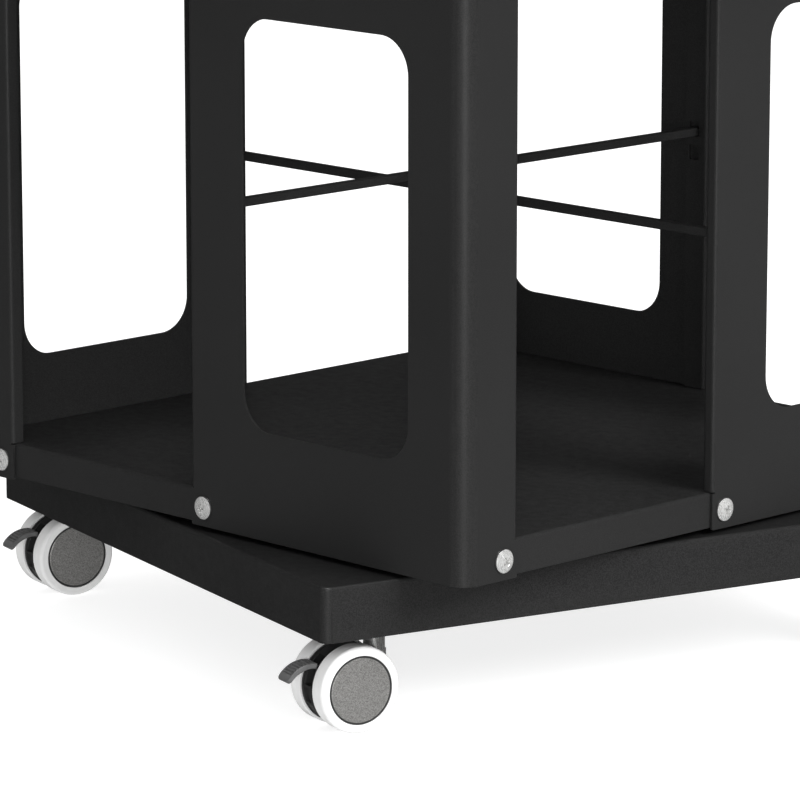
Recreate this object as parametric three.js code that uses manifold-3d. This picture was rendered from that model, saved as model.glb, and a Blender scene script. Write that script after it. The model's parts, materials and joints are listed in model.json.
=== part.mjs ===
// Revolving storage tower in black powder-coated sheet steel, on a square rolling base.
// Four tiers stand on a ball-race turntable; each tier is a shelf pan ringed by four folded
// corner panels, with two crossed divider rods. The base pan rolls on four braked twin-wheel
// casters. Millimetres, +Z up. The origin is on the floor, on the axis that the tower turns
// about, and X and Y run square to the tower's faces at rest.
import * as THREE from "three";
import { mergeVertices } from "three/addons/utils/BufferGeometryUtils.js";
import Module from "manifold-3d";

// Driving dimensions.
const TIERS = 4;
const TIER_PITCH = 320;
const GAP = 0.3; // clearance left between pieces that touch on the real object
const SHEET = 1.5;
const CUT = 1; // how far a cutting body runs past what it cuts

const TOWER_HALF = 200; // half the tower's width over its panel faces
const FIRST_SHELF_TOP = 106.8;
const SHELF_RIM = 19.5; // height of the shelf pan's turned-down rim
const SHELF_CORNER = 10;

const PANEL_WIDE = 209.6; // wide leg of the corner panel, over the bend
const PANEL_NARROW = 39.2; // narrow leg, over the bend
const PANEL_BEND = 11; // outer radius of the corner bend
const PANEL_LIP = 7.7; // depth of the hems along the two free edges
const PANEL_RETURN = 16; // width of the strip that turns back behind the wide leg
const PANEL_OVERHANG = 1.2; // how far the panel hangs below the shelf rim
const SEAM = 0.5; // seam between one tier's panel and the next
const TAB_RISE = 15; // how far a panel's tabs stand up inside the next shelf's rim
const TAB_ROOT = 25; // how far below the panel's top its tabs start

const WINDOW_WIDTH = 126.4;
const WINDOW_HEIGHT = 222.4;
const WINDOW_FROM_FREE_EDGE = 42;
const WINDOW_ABOVE_SHELF = 39;
const WINDOW_CORNER = 20;

const ROD = 5; // square divider rods
const ROD_END_DEPTH = 4; // from the panel's face to the rod's end
const LOW_ROD_ABOVE_SHELF = 140.6;
const HIGH_ROD_ABOVE_SHELF = 154.7;
const ROD_SLOT_WIDTH = 7.5;
const ROD_SLOT_HEIGHT = 9.1;

const BASE_TURN = -15; // degrees from the tower's faces to the base's sides, at rest
const BASE_HALF = 198;
const BASE_BOTTOM = 53.3;
const BASE_TOP = 83.3;
const BASE_CORNER = 5;

const RACE_RADIUS = 75; // pitch radius of the ball race
const RACE_HALF_WIDTH = 10;
const RACE_THICKNESS = 5.4;
const RACE_TO_BALLS = 2; // from each race's grooved face to the balls' centres
const RACE_SEGMENTS = 32;
const GROOVE_STEPS = 4;
const BALL_RADIUS = 3.5;
const BALL_SEGMENTS = 8;
const BALL_RINGS = 6;
const BALL_COUNT = 12;
const BALL_ROOM = 0.9; // from a ball to its grooves
const CAGE_HALF_WIDTH = 6;
const CAGE_THICKNESS = 1.6;
const CARRIER_WEB = 76; // outer radii of the folded ring on top of the upper race
const CARRIER_FOOT = 83;
const CARRIER_FLANGE = 16; // width of its head and foot flanges

const STEM_X = 172; // caster stems, from the base's centre
const STEM_Y = 154;
const STEM_RADIUS = 5.8;
const PIVOT_RADIUS = 4; // the stem's lower pin and its threaded top
const STEM_SHOULDER = 37.8;
const PIVOT_LENGTH = 23; // from the shoulder down to the pin's lower end
const COLLAR_ROOM = 0.5; // round the stem's collar, where it stands over the housing
const WELD_NUT_RADIUS = 8;
const WELD_NUT_BOTTOM = 62.3;

const WHEEL_RADIUS = 23.5;
const WHEEL_INNER = 7; // from the caster's middle plane to the wheel's inner face
const WHEEL_OUTER = 18.5;
const WHEEL_SEGMENTS = 24;
const TYRE_CHAMFER = 0.8; // round the wheel's inner face
const SHOULDER_WIDTH = 3; // the tyre's outer shoulder, along the axle
const SHOULDER_DEPTH = 1.6; // and towards it
const RING_SET_BACK = 0.6; // the tyre's side face behind the hub cap's, at the shoulder
const CAP_GROOVE_WIDTH = 0.6;
const CAP_GROOVE_DEPTH = 0.2;
const CAP_RADIUS = 18.2;
const TRAIL = 17.7; // from the stem's axis back to the axle
const AXLE_RADIUS = 2.5;
const AXLE_HALF = 14.2;
const HOUSING_RADIUS = 22.2;
const HOUSING_HALF = 6.6;
const HOUSING_FLAT = 5; // height of the housing's flat underside above the floor
const HOUSING_STEPS = 10; // facets round half of its disc
const SLEEVE_RADIUS = 6.5; // the housing's sleeve round the stem's pin
const POCKET_LOW = 25.2; // the brake pedal's pocket in the housing
const POCKET_HIGH = 40.5;
const POCKET_DEPTH_FROM_AXLE = 3;

const PEDAL_PIVOT_Y = -6.3; // pedal points are measured from the axle along Y, and from the floor
const PEDAL_PIVOT_Z = 28.3;
const PEDAL_HALF = 5.8;
const PEDAL_ARM_HALF = 2.8;
const PEDAL_EYE_RADIUS = 2.7;
const PEDAL_PIN_RADIUS = 1.4;
const PEDAL_CENTRE_Y = -22.6; // centre of the tread blade's curve
const PEDAL_CENTRE_Z = 21;
const PEDAL_OUTER = 17.2;
const PEDAL_BLADE = 2.3; // thickness of the blade
const PEDAL_BLADE_FROM = 79; // the blade's arc, in degrees up from +Y
const PEDAL_BLADE_TO = 142;
const PEDAL_BLADE_STEPS = 3;
const PEDAL_ARM_TIP_Y = -21; // where the arm runs into the blade
const PEDAL_ARM_TIP_Z = 36.8;
const PEDAL_ARM_THICKNESS = 2.4;
const PEDAL_ARM_RELIEF = 0.6; // keeps the arm's tip under the blade's back
const PEDAL_PLAY = 0.4; // from the arm to the pocket's sides

const wasm = await Module();
wasm.setup();

// Finishes.
const finish = (color, roughness, metalness) =>
  new THREE.MeshStandardMaterial({ color, roughness, metalness });
const blackPowder = finish(0x1d1d1d, 0.6, 0.1);
const blackPlastic = finish(0x161616, 0.45, 0);
const greyPlastic = finish(0x4a4a4a, 0.6, 0);
const whiteTyre = finish(0xf2f2f2, 0.4, 0);
const zincSteel = finish(0xa8a8a6, 0.35, 1);
const raceSteel = finish(0x8c8e90, 0.3, 1);

const radians = THREE.MathUtils.degToRad;

// A closed three.js geometry as a manifold solid, and back.
function solidOf(geometry) {
  const bare = geometry.clone();
  bare.deleteAttribute("normal");
  bare.deleteAttribute("uv");
  const merged = mergeVertices(bare, 1e-4);
  const vertProperties = new Float32Array(merged.attributes.position.array);
  const triVerts = new Uint32Array(merged.index.array);
  return new wasm.Manifold(new wasm.Mesh({ numProp: 3, vertProperties, triVerts }));
}

function geometryOf(solid) {
  const mesh = solid.getMesh();
  const geometry = new THREE.BufferGeometry();
  geometry.setAttribute("position", new THREE.BufferAttribute(mesh.vertProperties, 3));
  geometry.setIndex(new THREE.BufferAttribute(mesh.triVerts, 1));
  geometry.computeVertexNormals();
  return geometry;
}

// Basic solids.
function box(low, high) {
  const size = high.map((value, i) => value - low[i]);
  const geometry = new THREE.BoxGeometry(...size);
  geometry.translate(...low.map((value, i) => value + size[i] / 2));
  return solidOf(geometry);
}

// A prism whose outline lies square to one axis: "x" takes an outline in Y and Z,
// "y" one in X and Z, and "z" one in X and Y.
function prism(axis, shape, from, to, curveSegments = 2) {
  const geometry = new THREE.ExtrudeGeometry(shape, {
    depth: to - from,
    bevelEnabled: false,
    curveSegments,
  });
  const place = new THREE.Matrix4();
  if (axis === "x") place.set(0, 0, 1, from, 1, 0, 0, 0, 0, 1, 0, 0, 0, 0, 0, 1);
  if (axis === "y") place.set(1, 0, 0, 0, 0, 0, -1, to, 0, 1, 0, 0, 0, 0, 0, 1);
  if (axis === "z") place.makeTranslation(0, 0, from);
  geometry.applyMatrix4(place);
  return solidOf(geometry);
}

function upright(radius, bottom, top, segments = 12) {
  const geometry = new THREE.CylinderGeometry(radius, radius, top - bottom, segments);
  geometry.rotateX(Math.PI / 2);
  geometry.translate(0, 0, (bottom + top) / 2);
  return solidOf(geometry);
}

// A cylinder along X through the point (y, z).
function crosswise(radius, y, z, from, to, segments = 12) {
  const geometry = new THREE.CylinderGeometry(radius, radius, to - from, segments);
  geometry.rotateZ(-Math.PI / 2);
  geometry.translate((from + to) / 2, y, z);
  return solidOf(geometry);
}

// A ring or disc about Z from a profile of [radius, z] points that run anticlockwise.
function turned(profile, segments, start = 0) {
  const points = profile.map(([radius, z]) => new THREE.Vector2(radius, z));
  const geometry = new THREE.LatheGeometry(points, segments, start);
  geometry.rotateX(Math.PI / 2);
  return geometry;
}

function roundedRectangle(left, bottom, width, height, radius) {
  const right = left + width;
  const top = bottom + height;
  const shape = new THREE.Shape();
  shape.absarc(right - radius, bottom + radius, radius, -Math.PI / 2, 0, false);
  shape.absarc(right - radius, top - radius, radius, 0, Math.PI / 2, false);
  shape.absarc(left + radius, top - radius, radius, Math.PI / 2, Math.PI, false);
  shape.absarc(left + radius, bottom + radius, radius, Math.PI, 1.5 * Math.PI, false);
  return shape;
}

function node(name, solid, material) {
  const mesh = new THREE.Mesh(geometryOf(solid), material);
  mesh.name = name;
  return mesh;
}

// A shallow pan of folded sheet, open below.
function pan(half, corner, bottom, top) {
  const outer = roundedRectangle(-half, -half, 2 * half, 2 * half, corner);
  const inside = half - SHEET;
  const inner = roundedRectangle(-inside, -inside, 2 * inside, 2 * inside, corner - SHEET);
  return prism("z", outer, bottom, top).subtract(prism("z", inner, bottom - CUT, top - SHEET));
}

// The folded section of a corner panel, seen from above: the wide leg runs along -Y, the
// narrow leg along +X, and both free edges are hemmed inwards.
function panelSection() {
  const face = -TOWER_HALF;
  const freeX = TOWER_HALF - PANEL_WIDE;
  const freeY = -TOWER_HALF + PANEL_NARROW;
  const bendX = TOWER_HALF - PANEL_BEND;
  const bendY = face + PANEL_BEND;
  const section = new THREE.Shape();
  section.moveTo(freeX, face);
  section.lineTo(bendX, face);
  section.absarc(bendX, bendY, PANEL_BEND, -Math.PI / 2, 0, false);
  section.lineTo(TOWER_HALF, freeY);
  section.lineTo(TOWER_HALF - PANEL_LIP, freeY);
  section.lineTo(TOWER_HALF - PANEL_LIP, freeY - SHEET);
  section.lineTo(TOWER_HALF - SHEET, freeY - SHEET);
  section.absarc(bendX, bendY, PANEL_BEND - SHEET, 0, -Math.PI / 2, true);
  section.lineTo(freeX + SHEET, face + SHEET);
  section.lineTo(freeX + SHEET, face + PANEL_LIP - SHEET);
  section.lineTo(freeX + PANEL_RETURN, face + PANEL_LIP - SHEET);
  section.lineTo(freeX + PANEL_RETURN, face + PANEL_LIP);
  section.lineTo(freeX, face + PANEL_LIP);
  section.closePath();
  return section;
}

// A corner panel with its hems notched round the shelf pan below, tabs that stand up inside
// the rim of the pan above, its window and the slots for the divider rods.
function cornerPanel(shelfTop) {
  const face = -TOWER_HALF;
  const back = face + PANEL_LIP;
  const freeX = TOWER_HALF - PANEL_WIDE;
  const freeY = face + PANEL_NARROW;
  const bottom = shelfTop - SHELF_RIM - PANEL_OVERHANG;
  const top = bottom + TIER_PITCH - SEAM;
  const nextRim = shelfTop - SHELF_RIM + TIER_PITCH;
  const hemTop = nextRim - GAP;
  const tabTop = nextRim + TAB_RISE;
  const root = top - TAB_ROOT;
  const hemEnd = shelfTop + GAP;
  const innerX = TOWER_HALF - PANEL_LIP;
  const added = [
    box([freeX, face + SHEET, root], [freeX + SHEET, back, hemTop]),
    box([freeX, back - SHEET, root], [freeX + PANEL_RETURN, back, tabTop]),
    box([innerX, freeY - SHEET, root], [TOWER_HALF - SHEET, freeY, hemTop]),
    box([innerX, freeY - PANEL_RETURN, root], [innerX + SHEET, freeY, tabTop]),
  ];
  const window = roundedRectangle(
    freeX + WINDOW_FROM_FREE_EDGE,
    shelfTop + WINDOW_ABOVE_SHELF,
    WINDOW_WIDTH,
    WINDOW_HEIGHT,
    WINDOW_CORNER,
  );
  const cuts = [
    box(
      [freeX - CUT, face + SHEET, bottom - CUT],
      [freeX + PANEL_RETURN + CUT, back + CUT, hemEnd],
    ),
    box(
      [innerX - CUT, freeY - SHEET - CUT, bottom - CUT],
      [TOWER_HALF - SHEET, freeY + CUT, hemEnd],
    ),
    prism("y", window, face - CUT, face + SHEET + CUT),
  ];
  for (const rodAbove of [LOW_ROD_ABOVE_SHELF, HIGH_ROD_ABOVE_SHELF]) {
    const slotBottom = shelfTop + rodAbove - ROD / 2 - GAP;
    const slotTop = slotBottom + ROD_SLOT_HEIGHT;
    const half = ROD_SLOT_WIDTH / 2;
    cuts.push(box([-half, back - SHEET - CUT, slotBottom], [half, back + CUT, slotTop]));
  }
  let solid = prism("z", panelSection(), bottom, top);
  for (const piece of added) solid = solid.add(piece);
  for (const cut of cuts) solid = solid.subtract(cut);
  return solid;
}

// The tower: shelf pans, corner panels in a pinwheel, and crossed rods.
const tower = new THREE.Group();
for (let level = 0; level <= TIERS; level += 1) {
  const shelfTop = FIRST_SHELF_TOP + level * TIER_PITCH;
  const half = TOWER_HALF - SHEET - GAP;
  const shelf = pan(half, SHELF_CORNER, shelfTop - SHELF_RIM, shelfTop);
  const name = level < TIERS ? `shelf_pan_${level + 1}` : "top_pan";
  tower.add(node(name, shelf, blackPowder));
}

const sides = ["front", "right", "back", "left"];
for (let tier = 1; tier <= TIERS; tier += 1) {
  const shelfTop = FIRST_SHELF_TOP + (tier - 1) * TIER_PITCH;
  const panel = cornerPanel(shelfTop);
  sides.forEach((side, quarter) => {
    const copy = node(`panel_${tier}_${side}`, panel, blackPowder);
    copy.rotation.z = (quarter * Math.PI) / 2;
    tower.add(copy);
  });
  const reach = TOWER_HALF - ROD_END_DEPTH;
  const lowZ = shelfTop + LOW_ROD_ABOVE_SHELF - ROD / 2;
  const highZ = shelfTop + HIGH_ROD_ABOVE_SHELF - ROD / 2;
  const lowRod = box([-reach, -ROD / 2, lowZ], [reach, ROD / 2, lowZ + ROD]);
  const highRod = box([-ROD / 2, -reach, highZ], [ROD / 2, reach, highZ + ROD]);
  tower.add(node(`divider_rod_${tier}_low`, lowRod, blackPowder));
  tower.add(node(`divider_rod_${tier}_high`, highRod, blackPowder));
}

// The turntable: two grooved races, a cage of balls between them, and a folded ring that
// carries the lowest shelf pan.
const lowerRaceBottom = BASE_TOP + GAP;
const lowerRaceTop = lowerRaceBottom + RACE_THICKNESS;
const ballZ = lowerRaceTop + RACE_TO_BALLS;
const grooveRadius = BALL_RADIUS + BALL_ROOM;

function raceProfile(edge, groove) {
  // edge is the height of the flat side, groove that of the grooved side.
  const away = Math.sign(edge - groove);
  const start = Math.asin((groove - ballZ) / grooveRadius);
  const profile = [
    [RACE_RADIUS - RACE_HALF_WIDTH, edge],
    [RACE_RADIUS + RACE_HALF_WIDTH, edge],
    [RACE_RADIUS + RACE_HALF_WIDTH, groove],
  ];
  const sweep = Math.PI - 2 * Math.abs(start);
  for (let i = 0; i <= GROOVE_STEPS; i += 1) {
    const angle = start + (away * sweep * i) / GROOVE_STEPS;
    const radius = RACE_RADIUS + grooveRadius * Math.cos(angle);
    profile.push([radius, ballZ + grooveRadius * Math.sin(angle)]);
  }
  profile.push([RACE_RADIUS - RACE_HALF_WIDTH, groove]);
  profile.push(profile[0]);
  return away < 0 ? profile : profile.reverse();
}

function ballCage() {
  const low = ballZ - CAGE_THICKNESS / 2;
  const high = ballZ + CAGE_THICKNESS / 2;
  const inner = RACE_RADIUS - CAGE_HALF_WIDTH;
  const outer = RACE_RADIUS + CAGE_HALF_WIDTH;
  const ring = [[inner, low], [outer, low], [outer, high], [inner, high], [inner, low]];
  let cage = solidOf(turned(ring, RACE_SEGMENTS));
  for (let i = 0; i < BALL_COUNT; i += 1) {
    const angle = (2 * Math.PI * i) / BALL_COUNT;
    const ball = new THREE.SphereGeometry(BALL_RADIUS, BALL_SEGMENTS, BALL_RINGS);
    ball.translate(RACE_RADIUS * Math.cos(angle), RACE_RADIUS * Math.sin(angle), ballZ);
    cage = cage.add(solidOf(ball));
  }
  return cage;
}

function carrierProfile(bottom, top) {
  const head = CARRIER_WEB - CARRIER_FLANGE;
  const toe = CARRIER_FOOT - CARRIER_FLANGE;
  return [
    [toe, bottom],
    [CARRIER_FOOT, bottom],
    [CARRIER_FOOT, bottom + SHEET],
    [CARRIER_WEB, bottom + SHEET],
    [CARRIER_WEB, top],
    [head, top],
    [head, top - SHEET],
    [CARRIER_WEB - SHEET, top - SHEET],
    [CARRIER_WEB - SHEET, bottom + SHEET],
    [toe, bottom + SHEET],
    [toe, bottom],
  ];
}

const upperRaceBottom = ballZ + RACE_TO_BALLS;
const upperRaceTop = upperRaceBottom + RACE_THICKNESS;
const lowerRace = turned(raceProfile(lowerRaceBottom, lowerRaceTop), RACE_SEGMENTS);
const upperRace = turned(raceProfile(upperRaceTop, upperRaceBottom), RACE_SEGMENTS);
const carrierTop = FIRST_SHELF_TOP - SHEET - GAP;
const carrier = turned(carrierProfile(upperRaceTop + GAP, carrierTop), RACE_SEGMENTS);
tower.add(node("turntable_upper_race", solidOf(upperRace), raceSteel));
tower.add(node("turntable_carrier_ring", solidOf(carrier), blackPowder));

// The base, turned against the tower as it stands at rest.
const base = new THREE.Group();
base.rotation.z = radians(BASE_TURN);
base.add(node("turntable_lower_race", solidOf(lowerRace), raceSteel));
base.add(node("turntable_ball_cage", ballCage(), raceSteel));

const corners = [
  ["front_right", 1, -1],
  ["front_left", -1, -1],
  ["rear_right", 1, 1],
  ["rear_left", -1, 1],
]; // with the side of the base that each lies on, along X and Y

function basePan() {
  let solid = pan(BASE_HALF, BASE_CORNER, BASE_BOTTOM, BASE_TOP);
  const nut = upright(WELD_NUT_RADIUS, WELD_NUT_BOTTOM, BASE_TOP - SHEET / 2);
  const thread = upright(PIVOT_RADIUS + GAP, WELD_NUT_BOTTOM - CUT, BASE_TOP - SHEET);
  for (const [, sideX, sideY] of corners) {
    const place = [sideX * STEM_X, sideY * STEM_Y, 0];
    solid = solid.add(nut.translate(place)).subtract(thread.translate(place));
  }
  return solid;
}
base.add(node("base_pan", basePan(), blackPowder));

// Caster pieces stand about the stem's axis, with the wheels trailing towards -Y. At rest the
// rear casters are turned half round, so that all four trail away from the base's middle.
function casterStem() {
  const pinBottom = STEM_SHOULDER - PIVOT_LENGTH;
  const threadTop = BASE_TOP - SHEET - GAP;
  const collarTop = WELD_NUT_BOTTOM - GAP;
  return upright(PIVOT_RADIUS, pinBottom, threadTop)
    .add(upright(STEM_RADIUS, STEM_SHOULDER, collarTop));
}

function casterHousing() {
  const flat = Math.asin((HOUSING_FLAT - WHEEL_RADIUS) / HOUSING_RADIUS);
  const side = new THREE.Shape();
  side.absarc(-TRAIL, WHEEL_RADIUS, HOUSING_RADIUS, flat, Math.PI - flat, false);
  side.closePath();
  const seat = STEM_SHOULDER - GAP;
  const above = WHEEL_RADIUS + HOUSING_RADIUS + CUT;
  const beside = HOUSING_HALF + CUT;
  const behind = -TRAIL - HOUSING_RADIUS - CUT;
  const collarRoom = STEM_RADIUS + COLLAR_ROOM;
  const pinEnd = STEM_SHOULDER - PIVOT_LENGTH;
  const pocketHalf = PEDAL_ARM_HALF + PEDAL_PLAY;
  const pocketFront = -TRAIL - POCKET_DEPTH_FROM_AXLE;
  const pinHalf = pocketHalf + CUT;
  const pinY = PEDAL_PIVOT_Y - TRAIL;
  return prism("x", side, -HOUSING_HALF, HOUSING_HALF, HOUSING_STEPS)
    .add(upright(SLEEVE_RADIUS, HOUSING_FLAT, seat))
    .subtract(box([-beside, -collarRoom, seat], [beside, SLEEVE_RADIUS + CUT, above]))
    .subtract(upright(PIVOT_RADIUS + GAP, pinEnd - CUT, above))
    .subtract(crosswise(AXLE_RADIUS + GAP, -TRAIL, WHEEL_RADIUS, -beside, beside))
    .subtract(box([-pocketHalf, behind, POCKET_LOW], [pocketHalf, pocketFront, POCKET_HIGH]))
    .add(crosswise(PEDAL_PIN_RADIUS, pinY, PEDAL_PIVOT_Z, -pinHalf, pinHalf));
}

// The wheel about Z, its outer face up: a blind bore from the inner side, the tyre's rounded
// shoulders, and a shallow groove round the hub cap. Its flats, not its corners, reach the
// tyre's radius, so that it rests on a flat.
function wheelProfile() {
  const tyre = WHEEL_RADIUS / Math.cos(Math.PI / WHEEL_SEGMENTS);
  const bore = AXLE_RADIUS + GAP;
  return [
    [0, AXLE_HALF + GAP],
    [bore, AXLE_HALF + GAP],
    [bore, WHEEL_INNER],
    [tyre - TYRE_CHAMFER, WHEEL_INNER],
    [tyre, WHEEL_INNER + TYRE_CHAMFER],
    [tyre, WHEEL_OUTER - SHOULDER_WIDTH],
    [tyre - SHOULDER_DEPTH, WHEEL_OUTER - RING_SET_BACK],
    [CAP_RADIUS + CAP_GROOVE_WIDTH, WHEEL_OUTER - CAP_GROOVE_DEPTH],
    [CAP_RADIUS, WHEEL_OUTER],
    [0, WHEEL_OUTER],
  ];
}

function casterWheel(side) {
  const geometry = turned(wheelProfile(), WHEEL_SEGMENTS, Math.PI / WHEEL_SEGMENTS);
  geometry.rotateY((side * Math.PI) / 2);
  geometry.translate(0, -TRAIL, WHEEL_RADIUS);
  return solidOf(geometry);
}

function brakePedal() {
  const blade = new THREE.Shape();
  const from = radians(PEDAL_BLADE_FROM);
  const to = radians(PEDAL_BLADE_TO);
  const inner = PEDAL_OUTER - PEDAL_BLADE;
  blade.absarc(PEDAL_CENTRE_Y, PEDAL_CENTRE_Z, PEDAL_OUTER, from, to, false);
  blade.absarc(PEDAL_CENTRE_Y, PEDAL_CENTRE_Z, inner, to, from, true);
  blade.closePath();
  const arm = new THREE.Shape();
  const rise = Math.atan2(PEDAL_ARM_TIP_Z - PEDAL_PIVOT_Z, PEDAL_PIVOT_Y - PEDAL_ARM_TIP_Y);
  const acrossY = (PEDAL_ARM_THICKNESS / 2) * Math.sin(rise);
  const acrossZ = (PEDAL_ARM_THICKNESS / 2) * Math.cos(rise);
  arm.moveTo(PEDAL_PIVOT_Y + acrossY, PEDAL_PIVOT_Z + acrossZ);
  arm.lineTo(PEDAL_ARM_TIP_Y + acrossY, PEDAL_ARM_TIP_Z + acrossZ - PEDAL_ARM_RELIEF);
  arm.lineTo(PEDAL_ARM_TIP_Y - acrossY, PEDAL_ARM_TIP_Z - acrossZ);
  arm.lineTo(PEDAL_PIVOT_Y - acrossY, PEDAL_PIVOT_Z - acrossZ);
  arm.closePath();
  const half = PEDAL_ARM_HALF;
  const beside = PEDAL_HALF + CUT;
  return prism("x", blade, -PEDAL_HALF, PEDAL_HALF, PEDAL_BLADE_STEPS)
    .add(prism("x", arm, -half, half))
    .add(crosswise(PEDAL_EYE_RADIUS, PEDAL_PIVOT_Y, PEDAL_PIVOT_Z, -half, half))
    .subtract(crosswise(PEDAL_PIN_RADIUS + GAP, PEDAL_PIVOT_Y, PEDAL_PIVOT_Z, -beside, beside))
    .translate([0, -TRAIL, 0]);
}

const stem = casterStem();
const housing = casterHousing();
const axle = crosswise(AXLE_RADIUS, -TRAIL, WHEEL_RADIUS, -AXLE_HALF, AXLE_HALF);
const rightWheel = casterWheel(1);
const leftWheel = casterWheel(-1);
const pedal = brakePedal();
for (const [corner, sideX, sideY] of corners) {
  const caster = new THREE.Group();
  caster.position.set(sideX * STEM_X, sideY * STEM_Y, 0);
  caster.rotation.z = sideY > 0 ? Math.PI : 0;
  caster.add(node(`caster_${corner}_stem`, stem, zincSteel));
  caster.add(node(`caster_${corner}_housing`, housing, blackPlastic));
  caster.add(node(`caster_${corner}_axle`, axle, zincSteel));
  caster.add(node(`caster_${corner}_wheel_right`, rightWheel, whiteTyre));
  caster.add(node(`caster_${corner}_wheel_left`, leftWheel, whiteTyre));
  caster.add(node(`caster_${corner}_brake_pedal`, pedal, greyPlastic));
  base.add(caster);
}

const group = new THREE.Group();
group.add(tower, base);

export default group;
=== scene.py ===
# Revolving storage tower in black powder-coated sheet steel on a rolling base: the looks.
# Each sheet, rod, screw, race and caster piece is built here in millimetres around the packed
# CAD frame, rounded, scaled to metres, and rides on its CAD body.
import json
import math
from bisect import bisect_right
import bmesh
import bpy
from mathutils import Matrix, Vector
from mathutils.geometry import delaunay_2d_cdt

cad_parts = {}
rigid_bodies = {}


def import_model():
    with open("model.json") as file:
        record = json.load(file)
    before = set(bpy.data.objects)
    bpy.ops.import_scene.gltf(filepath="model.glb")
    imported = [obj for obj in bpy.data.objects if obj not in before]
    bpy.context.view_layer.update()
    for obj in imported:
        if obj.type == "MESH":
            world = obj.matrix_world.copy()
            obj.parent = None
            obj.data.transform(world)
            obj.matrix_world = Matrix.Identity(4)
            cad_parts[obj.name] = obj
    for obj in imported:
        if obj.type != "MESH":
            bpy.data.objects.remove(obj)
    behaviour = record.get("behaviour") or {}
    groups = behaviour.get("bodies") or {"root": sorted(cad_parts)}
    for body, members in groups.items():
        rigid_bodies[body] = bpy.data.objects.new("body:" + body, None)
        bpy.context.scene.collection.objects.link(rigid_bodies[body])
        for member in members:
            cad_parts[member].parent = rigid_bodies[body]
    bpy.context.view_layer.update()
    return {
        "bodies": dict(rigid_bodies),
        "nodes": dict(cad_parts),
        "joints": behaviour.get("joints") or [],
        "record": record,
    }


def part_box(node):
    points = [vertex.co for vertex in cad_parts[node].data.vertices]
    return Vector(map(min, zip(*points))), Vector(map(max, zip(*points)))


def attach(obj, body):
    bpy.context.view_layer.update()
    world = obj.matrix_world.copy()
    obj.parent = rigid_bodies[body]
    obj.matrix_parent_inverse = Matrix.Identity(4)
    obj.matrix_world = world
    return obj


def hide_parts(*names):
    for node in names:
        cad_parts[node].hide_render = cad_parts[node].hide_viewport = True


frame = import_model()
scene = bpy.context.scene

MM = 0.001


def extent(node):
    """A CAD node's lowest and highest corner at rest, in millimetres."""
    low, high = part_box(node)
    return low / MM, high / MM


def middle(node):
    """The middle of a CAD node's box, in millimetres."""
    low, high = extent(node)
    return (low + high) / 2


# Sizes taken from the frame, in millimetres.
panel_low, panel_high = extent("panel_1_front")
shelf_low, shelf_high = extent("shelf_pan_1")
base_low, base_high = extent("base_pan")
rod_low, rod_high = extent("divider_rod_1_low")
cross_rod_low, _ = extent("divider_rod_1_high")
lower_race_low, lower_race_high = extent("turntable_lower_race")
upper_race_low, upper_race_high = extent("turntable_upper_race")
carrier_low, carrier_high = extent("turntable_carrier_ring")

FACE = panel_high.x  # from the tower's axis to its panel faces
FREE_EDGE = panel_low.x  # the wide leg's free edge
NARROW_EDGE = panel_high.y  # the narrow leg's free edge
SHELF_TOP = shelf_high.z
SHELF_RIM = shelf_high.z - shelf_low.z
SHELF_HALF = shelf_high.x
PITCH = extent("shelf_pan_2")[1].z - SHELF_TOP
TIERS = 4
SIDES = ("front", "right", "back", "left")
CORNERS = ("front_right", "front_left", "rear_right", "rear_left")

# Sheet-metal sizes.
SHEET = 1.5
FOLD = 2.0  # outer radius of the hems' folds
FOLD_STEPS = 4
CORNER_BEND = 11
CORNER_STEPS = 14
LIP = 7.7  # depth of the hems along the free edges
RETURN = 16  # width of the strips behind the faces, and of the carrier ring's flanges
GAP = 0.3
RELIEF = 0.8  # slit between a fold's end and the flat foot below it
SEAM = 0.5
TAB_ROOT = 25
CUT_EDGE = 0.25  # radius on sheared and punched edges
FOOT_CORNER = 1.2
TAB_CORNER = 2.5

WINDOW_LEFT = 42  # from the free edge
WINDOW_WIDTH = 126.4
WINDOW_BOTTOM = 39  # above the shelf
WINDOW_HEIGHT = 222.4
WINDOW_CORNER = 20
WINDOW_STEPS = 14
SLOT_WIDTH = 7.5
SLOT_HEIGHT = 9.1
SLOT_CORNER = 0.8

SHELF_CORNER = 10
BASE_HALF = 198
BASE_CORNER = 5
BASE_TURN = math.radians(-15)
PAN_BEND = 1.9  # outer radius round the pans' tops
UPWARD = 0.99  # a face whose normal rises more than this is a pan's flat top

SCREW_BELOW_SHELF = 10.3
SCREW_FROM_EDGE = 10  # the narrow leg's

# Caster sizes, about the stem's axis, with the wheels trailing towards -Y.
TRAIL = 17.7
AXLE_HEIGHT = 23.5
WHEEL_INNER = 7
WHEEL_OUTER = 18.5
CAP_RADIUS = 18.2
HOUSING_RADIUS = 22.2
HOUSING_HALF = 6.6
HOUSING_FLAT = 5  # height of the housing's flat foot
HUB_DEPTH = 2.8  # from the wheel's face to the bottom of its recess
AXLE_BORE = 2.8  # radius of the axle's hole
CAP_LINE = 0.8  # from the wheel's face to the black line round the cap, the rim of a black disc that paints the groove's shade
FRAME_HALF = 4.2  # half width of the raised frame round the lower opening
OPENING_HALF = 3.2  # half width of that opening and of the pedal's pocket
BAND_INSET = 1.1  # width of the housing's raised flanges
WAIST_DEPTH = 0.6  # from the flanges to the band between them
STEM_COLLAR_LOW = 37.8
THREAD_LOW = 62.6
THREAD_HIGH = 80.6
THREAD_PITCH = 1.25
THREAD_DEPTH = 0.5
STEM_RADIUS = 4
WHEEL_SEGMENTS = 96

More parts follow.
